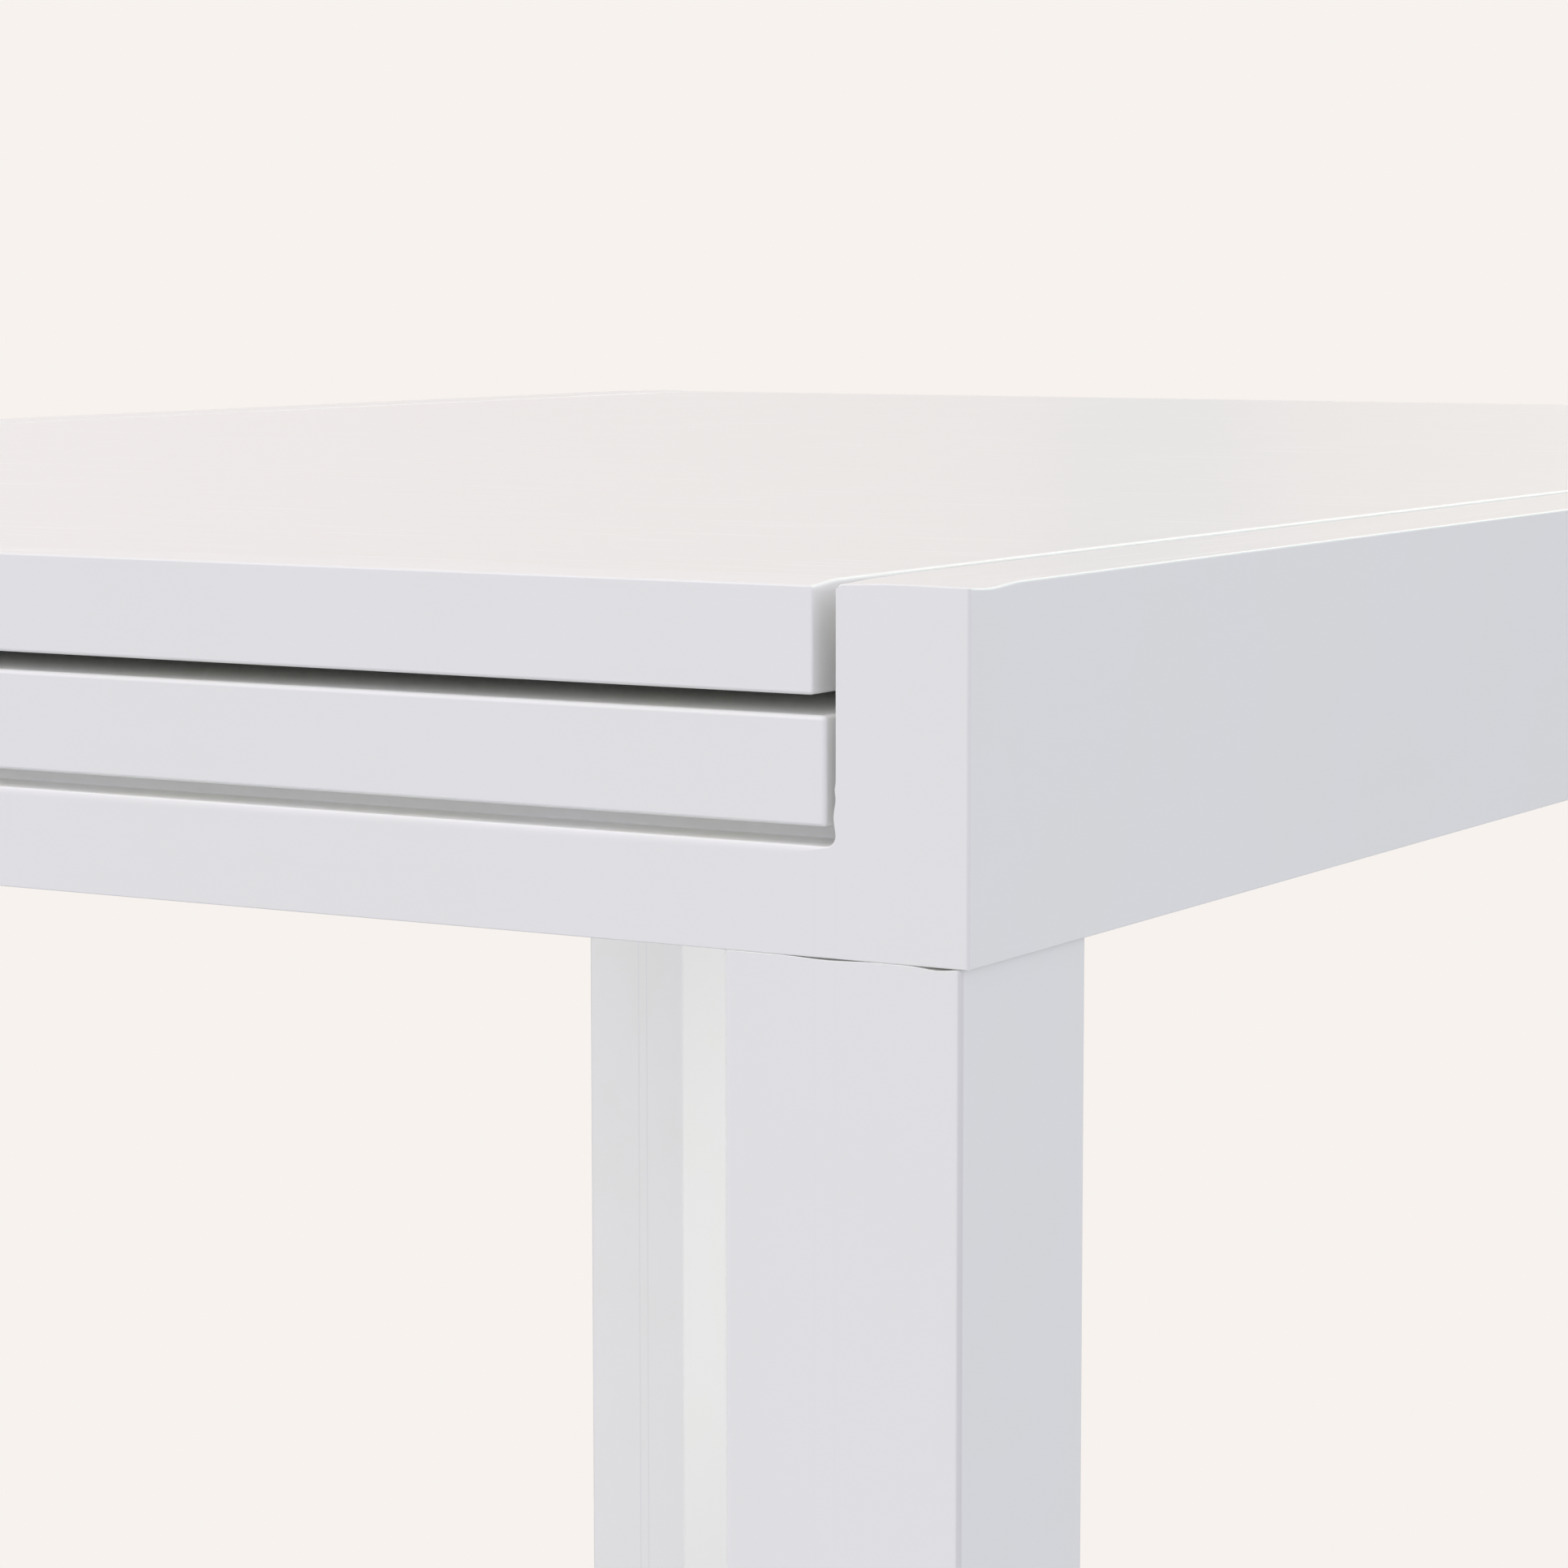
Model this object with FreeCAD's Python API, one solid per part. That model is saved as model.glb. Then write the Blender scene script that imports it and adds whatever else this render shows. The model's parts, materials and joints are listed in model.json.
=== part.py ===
"""Parsons extension table.

A fixed top lies between two full-height side rails. A leaf is stored under each end of
the top and draws out through the notch of a U-shaped end frame. Four square legs stand
under the corners.

Origin: the middle of the footprint, on the floor. X runs along the table, Y across it and
Z up. End a is at -X and end b at +X. The right side is at -Y and the left side at +Y.
All sizes are in millimetres.
"""
import FreeCAD, Part
import os

from FreeCAD import Vector

# Overall sizes
length = 1300.0
width = 900.0
height = 750.0

# Boards and gaps, from the top surface down at the table's end
top_thickness = 25.5
top_slot = 4.6
leaf_thickness = 25.0
leaf_slot = 4.4
end_rail_height = 25.2

# Boards and gaps across the table and along it
rail_width = 34.0
end_board = 25.0
top_side_gap = 5.3
leaf_side_gap = 2.5
top_overhang = 1.0
notch_radius = 3.0
board_ease = 1.5

# Cross members under the top and the leaves
bearer_width = 40.0
centre_width = 45.0
strip_lip = 14.0
strip_width = 16.0
strip_setback = 4.0

# Legs and their glides
leg_size = 61.5
leg_inset = 1.8
leg_ease = 1.5
glide_thickness = 5.0
glide_diameter = 36.0
glide_ease = 1.5
nail_diameter = 2.5
nail_length = 22.0
nail_head_diameter = 7.0
nail_head_height = 1.5

# How the leaves run
leaf_travel = 380.0
run_clearance = 0.3
bumper_thickness = 3.0
bumper_diameter = 10.0
runner_tail_inset = 10.0

# Guide channels on the side rails
channel_height = 20.0
channel_depth = 12.0
channel_wall = 2.0
channel_lift = 3.0
channel_end_gap = 1.0

# Runner angles under the leaves and the shoes on them
angle_wall = 3.0
angle_flange = 26.0
angle_gap = 2.5
shoe_length = 30.0
shoe_ease = 1.0

# Ledger angles that carry the top's long edges
ledger_wall = 2.0
ledger_foot = 20.0
ledger_height = 18.0
ledger_setback = 120.0

# Fasteners
fit_gap = 0.05
screw_play = 2.0
dowel_diameter = 8.0
dowel_length = 40.0
frame_dowel_rows = 3
frame_dowel_margin = 14.0
bearer_dowel_rise = 5.0
bearer_dowel_edge = 3.0
centre_dowel_rise = 8.0
leg_dowel_diameter = 10.0
leg_dowel_length = 40.0
bolt_diameter = 8.0
bolt_length = 50.0
bolt_head_diameter = 13.0
bolt_head_height = 8.0
bolt_socket = 6.0
bolt_sink = 1.0
bolt_play = 0.5
bolt_tip_room = 2.0
bolt_wall = 8.0
washer_diameter = 16.0
washer_thickness = 1.6
insert_diameter = 12.0
insert_length = 25.0
screw_diameter = 4.0
screw_length = 16.0
screw_head_diameter = 7.6
screw_head_height = 2.0
recess_length = 4.2
recess_width = 1.0
recess_depth = 1.2
bearer_screw_length = 50.0
bearer_screw_margin = 125.0
centre_screw_bite = 14.0
centre_screw_sink = 25.0
runner_screw_margin = 15.0
shoe_screw_cover = 3.0
top_screw_reach = 12.0
top_screw_shift = 11.0
screw_pitch = 190.0
screw_margin = 22.0

# How far a cutter reaches past the face that it opens, and how near counts as touching
overrun = 1.0
near = 0.1

# Heights that follow from the stack of boards
top_under = height - top_thickness
leaf_top = top_under - top_slot
leaf_under = leaf_top - leaf_thickness
end_rail_top = leaf_under - leaf_slot
frame_under = end_rail_top - end_rail_height
strip_top = leaf_under - run_clearance
channel_low = frame_under + channel_lift
channel_top = channel_low + channel_height
channel_middle = channel_low + channel_height / 2

# Places across and along the table, each measured out from the middle
half_length = length / 2
half_width = width / 2
rail_inner = half_width - rail_width
rail_middle = half_width - rail_width / 2
top_half_width = rail_inner - top_side_gap
leaf_half_width = rail_inner - leaf_side_gap
board_inner = half_length - end_board
bearer_inner = board_inner - bearer_width
bearer_middle = board_inner - bearer_width / 2
centre_half = centre_width / 2
leaf_tail = centre_half + bumper_thickness + run_clearance
runner_tail = leaf_tail + runner_tail_inset
runner_nose = bearer_inner - bumper_thickness - run_clearance - leaf_travel
channel_outer = bearer_inner - channel_end_gap
channel_inner = centre_half + channel_end_gap
angle_outer = rail_inner - channel_depth - angle_gap
ledger_outer = half_length - ledger_setback
leg_outer_y = half_width - leg_inset
leg_centre_x = half_length - leg_size / 2
leg_centre_y = leg_outer_y - leg_size / 2
leg_bolt_y = leg_outer_y - leg_size + insert_diameter / 2 + bolt_wall

ALONG = Vector(1, 0, 0)
ACROSS = Vector(0, 1, 0)
UP = Vector(0, 0, 1)
DOWN = Vector(0, 0, -1)
BOTH = (-1, 1)


# ---------------------------------------------------------------- shape helpers

def block(x_span, y_span, z_span):
    """Square-edged block between two planes along each axis."""
    corner = Vector(x_span[0], y_span[0], z_span[0])
    sizes = [span[1] - span[0] for span in (x_span, y_span, z_span)]
    return Part.makeBox(sizes[0], sizes[1], sizes[2], corner)


def rod(start, direction, diameter, rod_length):
    """Round bar from start along direction."""
    return Part.makeCylinder(diameter / 2, rod_length, start, direction)


def hole(start, direction, diameter, depth):
    """Cutter for a round hole that holds a pin of this diameter."""
    return rod(start - direction * overrun, direction, diameter + 2 * fit_gap, depth + overrun)


def cut(solid, cutters):
    """Solid less all the cutters."""
    return solid.cut(Part.makeCompound(cutters)).Solids[0] if cutters else solid


def to_left(shape):
    """Mirror image on the other side of the table."""
    return shape.mirror(Vector(0, 0, 0), ACROSS)


def to_end_b(shape):
    """Mirror image at the other end of the table."""
    return shape.mirror(Vector(0, 0, 0), ALONG)


def on_both_sides(shapes):
    """The given right-hand pieces and their left-hand twins."""
    return shapes + [to_left(shape) for shape in shapes]


def at_both_ends(shapes):
    """The given pieces of end a and their twins at end b."""
    return shapes + [to_end_b(shape) for shape in shapes]


def runs_along(edge, axis):
    """True for a straight edge parallel to the axis."""
    straight = isinstance(edge.Curve, Part.Line)
    return straight and edge.tangentAt(edge.FirstParameter).cross(axis).Length < near


def ease(solid, radius, wanted):
    """Round over the edges that wanted picks."""
    return solid.makeFillet(radius, [edge for edge in solid.Edges if wanted(edge)])


def ease_all(solid, radius):
    """Round over every edge."""
    return ease(solid, radius, lambda edge: True)


def evenly(low, high, count):
    """Evenly spaced values from low to high, both ends included."""
    step = (high - low) / (count - 1)
    return [low + step * number for number in range(count)]


def spread(low, high):
    """Screw places between low and high, about one pitch apart and clear of the ends."""
    first, last = low + screw_margin, high - screw_margin
    return evenly(first, last, max(2, round((last - first) / screw_pitch) + 1))


def save(node, solids):
    """Write one node's solids."""
    shape = solids[0] if len(solids) == 1 else Part.makeCompound(solids)
    shape.exportStep(os.path.join("parts", node + ".step"))


# ---------------------------------------------------------------- fasteners

def screw(seat, direction, shank_length, sunk):
    """Wood screw with a cross recess: seat is on the surface that its head meets."""
    head_radius = screw_head_diameter / 2
    shank_radius = screw_diameter / 2
    if sunk:
        head = Part.makeCone(head_radius, shank_radius, screw_head_height, seat, direction)
        head_face = seat
    else:
        head_face = seat - direction * screw_head_height
        head = rod(head_face, direction, screw_head_diameter, screw_head_height)
    body = head.fuse(rod(seat, direction, screw_diameter, shank_length)).removeSplitter()
    upright = FreeCAD.Rotation(UP, direction)
    arms = []
    for sizes in ((recess_length, recess_width), (recess_width, recess_length)):
        arm = Part.makeBox(sizes[0], sizes[1], recess_depth)
        arm.translate(Vector(-sizes[0] / 2, -sizes[1] / 2, 0))
        arm.Placement = FreeCAD.Placement(head_face, upright).multiply(arm.Placement)
        arms.append(arm)
    return cut(body, arms)


def screw_hole(seat, direction, depth, sunk):
    """Cutter for a screw: a pilot, with a countersink where the head is sunk."""
    pilot = hole(seat, direction, screw_diameter, depth)
    if not sunk:
        return [pilot]
    wide = screw_head_diameter / 2 + fit_gap
    narrow = screw_diameter / 2 + fit_gap
    return [pilot, Part.makeCone(wide, narrow, screw_head_height, seat, direction)]


def frame_dowel_starts():
    """Starts of the dowels, along X, that tie the right rail to end frame a."""
    low = frame_under + leg_dowel_length / 2 + frame_dowel_margin
    high = height - frame_dowel_margin
    start_x = -board_inner - dowel_length / 2
    return [Vector(start_x, -rail_middle, z) for z in evenly(low, high, frame_dowel_rows)]


def bearer_dowel_starts():
    """Starts of the dowels, along Y, that tie leaf bearer a to the right rail."""
    start_y = -rail_inner - dowel_length / 2
    z = frame_under + dowel_diameter / 2 + bearer_dowel_rise
    reach = bearer_width / 2 - dowel_diameter / 2 - bearer_dowel_edge
    return [Vector(-bearer_middle + side * reach, start_y, z) for side in BOTH]


def centre_dowel_starts():
    """Starts of the dowels, along Y, that tie the centre bearer to the right rail."""
    start_y = -rail_inner - dowel_length / 2
    low = frame_under + dowel_diameter / 2 + centre_dowel_rise
    high = leaf_top - dowel_diameter
    return [Vector(0, start_y, z) for z in (low, high)]


def leg_dowel_starts():
    """Starts of the upright dowels of the leg at end a, right."""
    start_z = frame_under - leg_dowel_length / 2
    in_board = Vector(-half_length + end_board / 2, -leg_centre_y, start_z)
    in_rail = Vector(-bearer_middle, -rail_middle, start_z)
    return [in_board, in_rail]


def leg_bolt_seat():
    """Where the washer of the right leg bolt of end a lies on its counterbore."""
    z = end_rail_top - bolt_sink - bolt_head_height - washer_thickness
    return Vector(-bearer_middle, -leg_bolt_y, z)


def channel_screw_seats():
    """Seats of the screws that hold the guide channel of end a, right."""
    y = -rail_inner + channel_wall
    places = spread(-channel_outer, -channel_inner)
    return [Vector(x, y, channel_middle) for x in places]


def ledger_screw_seats():
    """Seats of the screws that hold the right ledger to its rail."""
    y = -rail_inner + ledger_wall
    z = top_under + (ledger_height - ledger_wall) / 2
    return [Vector(x, y, z) for x in spread(-ledger_outer, ledger_outer)]


def top_screw_seats():
    """Seats of the screws that hold the top down to the right ledger."""
    y = -rail_inner + top_screw_reach
    places = [x for x in spread(-ledger_outer, ledger_outer) if abs(x) > centre_width]
    return [Vector(x + top_screw_shift, y, top_under - ledger_wall) for x in places]


def centre_screw_seats():
    """Seats of the screws that come up through the centre bearer into the top."""
    z = frame_under + centre_screw_sink
    return [Vector(0, y, z) for y in evenly(-rail_inner / 2, rail_inner / 2, 3)]


def bearer_screw_seats():
    """Seats of the screws that pull leaf bearer a against end frame a."""
    reach = rail_inner - bearer_screw_margin
    places = evenly(-reach, reach, 4)
    z = frame_under + end_rail_height / 2
    return [Vector(-bearer_inner, y, z) for y in places]


def runner_screw_seats():
    """Seats of the screws that hold the right runner angle up to leaf a."""
    y = -angle_outer + angle_wall + (angle_flange - angle_wall) / 2
    z = leaf_under - angle_wall
    places = evenly(-runner_nose + runner_screw_margin, -runner_tail - runner_screw_margin, 3)
    return [Vector(x, y, z) for x in places]


def shoe_middles():
    """Middles, along X, of the two shoes on a runner angle of end a."""
    return (-runner_nose + shoe_length / 2, -runner_tail - shoe_length / 2)


def shoe_screw_seats():
    """Seats of the screws that hold the right shoes of leaf a to their angle."""
    y = -angle_outer + angle_wall
    return [Vector(x, y, channel_middle) for x in shoe_middles()]


# ---------------------------------------------------------------- frame

def side_rail():
    """Right side rail, butted between the two end frames."""
    rail = block((-board_inner, board_inner), (-half_width, -rail_inner), (frame_under, height))

    def long_visible_edge(edge):
        outer = edge.CenterOfMass.y < -half_width + near
        high = edge.CenterOfMass.z > height - near
        return runs_along(edge, ALONG) and (outer or high)

    rail = ease(rail, board_ease, long_visible_edge)
    sockets = []
    for start in frame_dowel_starts():
        sockets.append(hole(start, ALONG, dowel_diameter, dowel_length))
    for start in bearer_dowel_starts():
        sockets.append(hole(start, ACROSS, dowel_diameter, dowel_length))
    in_rail = leg_dowel_starts()[1]
    sockets.append(hole(in_rail, UP, leg_dowel_diameter, leg_dowel_length))
    for seat in channel_screw_seats():
        sockets += screw_hole(seat, -ACROSS, screw_length, False)
    sockets = at_both_ends(sockets)
    for start in centre_dowel_starts():
        sockets.append(hole(start, ACROSS, dowel_diameter, dowel_length))
    for seat in ledger_screw_seats():
        sockets += screw_hole(seat, -ACROSS, screw_length, False)
    return cut(rail, sockets)


def end_frame():
    """U-shaped end frame a: the leaf and the top show in its notch."""
    board = block((-half_length, -board_inner), (-half_width, half_width), (frame_under, height))
    notch = block((-half_length - overrun, -board_inner + overrun), (-rail_inner, rail_inner),
                  (end_rail_top, height + overrun))
    notch = ease(notch, notch_radius, lambda edge: runs_along(edge, ALONG)
                 and edge.CenterOfMass.z < end_rail_top + near)
    board = cut(board, [notch])
    board = ease(board, board_ease, lambda edge: edge.CenterOfMass.x < -half_length + near)
    sockets = []
    for start in frame_dowel_starts():
        sockets.append(hole(start, ALONG, dowel_diameter, dowel_length))
    in_board = leg_dowel_starts()[0]
    sockets.append(hole(in_board, UP, leg_dowel_diameter, leg_dowel_length))
    sockets = on_both_sides(sockets)
    for seat in bearer_screw_seats():
        sockets += screw_hole(seat, -ALONG, bearer_screw_length, False)
    return cut(board, sockets)


def leaf_bearer():
    """Cross rail a: it carries the leaf and takes the leg bolts."""
    bearer = block((-board_inner, -bearer_inner), (-rail_inner, rail_inner), (frame_under, end_rail_top))
    seat = leg_bolt_seat()
    sockets = [hole(seat, UP, washer_diameter, end_rail_top - seat.z + overrun)]
    through = Vector(seat.x, seat.y, frame_under - overrun)
    sockets.append(rod(through, UP, bolt_diameter + 2 * bolt_play, seat.z - through.z))
    for start in bearer_dowel_starts():
        sockets.append(hole(start, ACROSS, dowel_diameter, dowel_length))
    sockets = on_both_sides(sockets)
    for seat in bearer_screw_seats():
        sockets += screw_hole(seat, -ALONG, bearer_screw_length, True)
    return cut(bearer, sockets)


def glide_strip():
    """Slippery strip a, across the joint of end frame and leaf bearer: the leaf slides on it."""
    front = -half_length + strip_lip
    reach = rail_inner - strip_setback
    return block((front, front + strip_width), (-reach, reach), (end_rail_top, strip_top))


def centre_bearer():
    """Cross rail under the middle of the top, between the tails of the two leaves."""
    bearer = block((-centre_half, centre_half), (-rail_inner, rail_inner), (frame_under, top_under))
    room = block((-centre_half - overrun, centre_half + overrun),
                 (-rail_inner - overrun, -rail_inner + ledger_foot + run_clearance),
                 (top_under - ledger_wall - run_clearance, top_under + overrun))
    sockets = [room]
    for start in centre_dowel_starts():
        sockets.append(hole(start, ACROSS, dowel_diameter, dowel_length))
    sockets = on_both_sides(sockets)
    for seat in centre_screw_seats():
        mouth = Vector(seat.x, seat.y, frame_under - overrun)
        sockets.append(rod(mouth, UP, screw_head_diameter + screw_play, centre_screw_sink + overrun))
        sockets += screw_hole(seat, UP, top_under - seat.z + overrun, True)
    return cut(bearer, sockets)


def top_ledger():
    """Right ledger angle, under the top's long edge."""
    foot = block((-ledger_outer, ledger_outer), (-rail_inner, -rail_inner + ledger_foot),
                 (top_under - ledger_wall, top_under))
    back = block((-ledger_outer, ledger_outer), (-rail_inner, -rail_inner + ledger_wall),
                 (top_under - ledger_wall, top_under - ledger_wall + ledger_height))
    angle = foot.fuse(back).removeSplitter()
    sockets = []
    for seat in ledger_screw_seats():
        sockets += screw_hole(seat, -ACROSS, ledger_wall + overrun, False)
    for seat in top_screw_seats():
        sockets += screw_hole(seat, UP, ledger_wall + overrun, True)
    return cut(angle, sockets)


def top_panel():
    """Fixed top, a little longer than the frame and narrower than the space between the rails."""
    reach = half_length + top_overhang
    panel = block((-reach, reach), (-top_half_width, top_half_width), (top_under, height))
    panel = ease_all(panel, board_ease)
    sockets = []
    for seat in top_screw_seats():
        sockets += screw_hole(seat, UP, screw_length, False)
    sockets = on_both_sides(sockets)
    for seat in centre_screw_seats():
        sockets.append(hole(seat, UP, screw_diameter, top_under - seat.z + centre_screw_bite))
    return cut(panel, sockets)


def guide_channel():
    """Guide channel of end a, right: it opens towards the middle of the table."""
    x_span = (-channel_outer, -channel_inner)
    bar = block(x_span, (-rail_inner, -rail_inner + channel_depth), (channel_low, channel_top))
    bore = block((x_span[0] - overrun, x_span[1] + overrun),
                 (-rail_inner + channel_wall, -rail_inner + channel_depth + overrun),
                 (channel_low + channel_wall, channel_top - channel_wall))
    sockets = [bore]
    for seat in channel_screw_seats():
        sockets += screw_hole(seat, -ACROSS, channel_wall + overrun, True)
    return cut(bar, sockets)


def bumper(face_x, direction, y, z):
    """Round rubber bumper on a cross rail."""
    return rod(Vector(face_x, y, z), direction, bumper_diameter, bumper_thickness)


def bumpers():
    """Stops for the drawn-out runner angles and for the tails of the stored leaves."""
    leaf_middle = leaf_under + leaf_thickness / 2
    outer = bumper(-bearer_inner, ALONG, -angle_outer + angle_wall, channel_middle)
    inner = bumper(-centre_half, -ALONG, -rail_inner / 2, leaf_middle)
    return at_both_ends(on_both_sides([outer, inner]))


# ---------------------------------------------------------------- leaves

def leaf():
    """Leaf a, stored under the top."""
    panel = block((-half_length, -leaf_tail), (-leaf_half_width, leaf_half_width), (leaf_under, leaf_top))
    panel = ease_all(panel, board_ease)
    sockets = []
    for seat in runner_screw_seats():
        sockets += screw_hole(seat, UP, screw_length, False)
    return cut(panel, on_both_sides(sockets))


def leaf_runner():
    """Right runner angle of leaf a: it carries the shoes that ride in the channel."""
    x_span = (-runner_nose, -runner_tail)
    shoe_low = channel_low + channel_wall + run_clearance
    flat = block(x_span, (-angle_outer, -angle_outer + angle_flange), (leaf_under - angle_wall, leaf_under))
    hanging = block(x_span, (-angle_outer, -angle_outer + angle_wall), (shoe_low, leaf_under))
    angle = flat.fuse(hanging).removeSplitter()
    sockets = []
    for seat in runner_screw_seats():
        sockets += screw_hole(seat, UP, angle_wall + overrun, False)
    for seat in shoe_screw_seats():
        sockets += screw_hole(seat, -ACROSS, angle_wall + overrun, False)
    return cut(angle, sockets)


def guide_shoes():
    """The two right shoes of leaf a."""
    y_span = (-rail_inner + channel_wall + run_clearance, -angle_outer)
    z_span = (channel_low + channel_wall + run_clearance, channel_top - channel_wall - run_clearance)
    shoes = []
    for middle, seat in zip(shoe_middles(), shoe_screw_seats()):
        shoe = block((middle - shoe_length / 2, middle + shoe_length / 2), y_span, z_span)
        shoe = ease(shoe, shoe_ease, lambda edge: runs_along(edge, UP))
        depth = angle_wall + shoe_screw_bite()
        shoes.append(cut(shoe, screw_hole(seat, -ACROSS, depth, False)))
    return shoes


def shoe_screw_bite():
    """How far a shoe's screw goes into the shoe."""
    return rail_inner - channel_wall - run_clearance - angle_outer - shoe_screw_cover


# ---------------------------------------------------------------- legs

def leg():
    """Square leg at end a, right."""
    x_span = (-half_length, -half_length + leg_size)
    y_span = (-leg_outer_y, -leg_outer_y + leg_size)
    post = block(x_span, y_span, (glide_thickness, frame_under))
    post = ease(post, leg_ease, lambda edge: runs_along(edge, UP)
                or edge.CenterOfMass.z < glide_thickness + near)
    seat = leg_bolt_seat()
    tip = seat.z + washer_thickness - bolt_length
    sockets = [hole(Vector(seat.x, seat.y, frame_under), DOWN, insert_diameter, insert_length)]
    well = Vector(seat.x, seat.y, tip - bolt_tip_room)
    sockets.append(rod(well, UP, bolt_diameter + 2 * bolt_play, frame_under - well.z))
    for start in leg_dowel_starts():
        sockets.append(hole(start, UP, leg_dowel_diameter, leg_dowel_length))
    nail_low = glide_thickness - nail_head_height
    sockets.append(hole(Vector(-leg_centre_x, -leg_centre_y, nail_low), UP, nail_diameter, nail_length))
    return cut(post, sockets)


def leg_bolt():
    """Socket-head bolt of the leg at end a, right."""
    seat = leg_bolt_seat()
    head_under = seat + UP * washer_thickness
    shank = rod(head_under - UP * bolt_length, UP, bolt_diameter, bolt_length)
    head = rod(head_under, UP, bolt_head_diameter, bolt_head_height)
    corner = bolt_socket / 3 ** 0.5
    hexagon = Part.makePolygon([
        Vector(corner, 0, 0), Vector(corner / 2, bolt_socket / 2, 0),
        Vector(-corner / 2, bolt_socket / 2, 0), Vector(-corner, 0, 0),
        Vector(-corner / 2, -bolt_socket / 2, 0), Vector(corner / 2, -bolt_socket / 2, 0),
        Vector(corner, 0, 0)])
    socket = Part.Face(hexagon).extrude(UP * bolt_head_height)
    socket.translate(head_under + UP * bolt_head_height / 2)
    return cut(shank.fuse(head).removeSplitter(), [socket])


def leg_washer():
    """Washer of the leg bolt at end a, right."""
    seat = leg_bolt_seat()
    ring = rod(seat, UP, washer_diameter, washer_thickness)
    return cut(ring, [hole(seat, UP, bolt_diameter, washer_thickness + overrun)])


def leg_insert():
    """Threaded insert in the head of the leg at end a, right."""
    seat = leg_bolt_seat()
    low = Vector(seat.x, seat.y, frame_under - insert_length)
    sleeve = rod(low, UP, insert_diameter, insert_length)
    return cut(sleeve, [hole(low, UP, bolt_diameter, insert_length + overrun)])


def foot_glide():
    """Nail-on glide of the leg at end a, right."""
    foot = Vector(-leg_centre_x, -leg_centre_y, 0)
    disc = rod(foot, UP, glide_diameter, glide_thickness)
    disc = ease(disc, glide_ease, lambda edge: edge.CenterOfMass.z < near
                and not isinstance(edge.Curve, Part.Line))
    nail_low = glide_thickness - nail_head_height
    well = rod(foot + UP * nail_low, UP, nail_head_diameter + 2 * fit_gap, nail_head_height + overrun)
    return cut(disc, [well])


def glide_nail():
    """Nail of the glide at end a, right: its head is moulded into the glide."""
    foot = Vector(-leg_centre_x, -leg_centre_y, glide_thickness - nail_head_height)
    head = rod(foot, UP, nail_head_diameter, nail_head_height)
    return head.fuse(rod(foot, UP, nail_diameter, nail_length)).removeSplitter()


# ---------------------------------------------------------------- the whole table

def save_frame():
    """Boards, rails and ledgers that stay still."""
    rail = side_rail()
    save("side_rail_right", [rail])
    save("side_rail_left", [to_left(rail)])
    ledger = top_ledger()
    save("top_ledger_right", [ledger])
    save("top_ledger_left", [to_left(ledger)])
    channel = guide_channel()
    save("guide_channel_a_right", [channel])
    save("guide_channel_a_left", [to_left(channel)])
    save("guide_channel_b_right", [to_end_b(channel)])
    save("guide_channel_b_left", [to_end_b(to_left(channel))])
    for name, solid in (("end_frame", end_frame()), ("leaf_bearer", leaf_bearer()),
                        ("glide_strip", glide_strip())):
        save(name + "_a", [solid])
        save(name + "_b", [to_end_b(solid)])
    save("centre_bearer", [centre_bearer()])
    save("top_panel", [top_panel()])
    save("bumpers", bumpers())


def save_frame_fasteners():
    """Dowels and screws of the frame, one node for each kind."""
    corner = [rod(start, ALONG, dowel_diameter, dowel_length) for start in frame_dowel_starts()]
    save("frame_dowels", at_both_ends(on_both_sides(corner)))
    outer = [rod(start, ACROSS, dowel_diameter, dowel_length) for start in bearer_dowel_starts()]
    inner = [rod(start, ACROSS, dowel_diameter, dowel_length) for start in centre_dowel_starts()]
    save("bearer_dowels", at_both_ends(on_both_sides(outer)) + on_both_sides(inner))
    holding = [screw(seat, -ACROSS, screw_length, True) for seat in channel_screw_seats()]
    save("channel_screws", at_both_ends(on_both_sides(holding)))
    holding = [screw(seat, -ACROSS, screw_length, False) for seat in ledger_screw_seats()]
    save("ledger_screws", on_both_sides(holding))
    holding = [screw(seat, UP, screw_length, True) for seat in top_screw_seats()]
    save("top_screws", on_both_sides(holding))
    bite = top_under - centre_screw_seats()[0].z + centre_screw_bite
    save("centre_screws", [screw(seat, UP, bite, True) for seat in centre_screw_seats()])
    holding = [screw(seat, -ALONG, bearer_screw_length, True) for seat in bearer_screw_seats()]
    save("bearer_screws", at_both_ends(holding))


def save_leaves():
    """The two leaves with what moves with them."""
    bite = angle_wall + shoe_screw_bite()
    shoe_screws = [screw(seat, -ACROSS, bite, False) for seat in shoe_screw_seats()]
    runner_screws = [screw(seat, UP, screw_length, False) for seat in runner_screw_seats()]
    panel, runner, shoes = leaf(), leaf_runner(), guide_shoes()
    for end, place in (("a", lambda shape: shape), ("b", to_end_b)):
        save("leaf_" + end, [place(panel)])
        save("leaf_runner_%s_right" % end, [place(runner)])
        save("leaf_runner_%s_left" % end, [place(to_left(runner))])
        save("guide_shoes_%s_right" % end, [place(shoe) for shoe in shoes])
        save("guide_shoes_%s_left" % end, [place(to_left(shoe)) for shoe in shoes])
        save("shoe_screws_" + end, [place(one) for one in on_both_sides(shoe_screws)])
        save("runner_screws_" + end, [place(one) for one in on_both_sides(runner_screws)])


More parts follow.
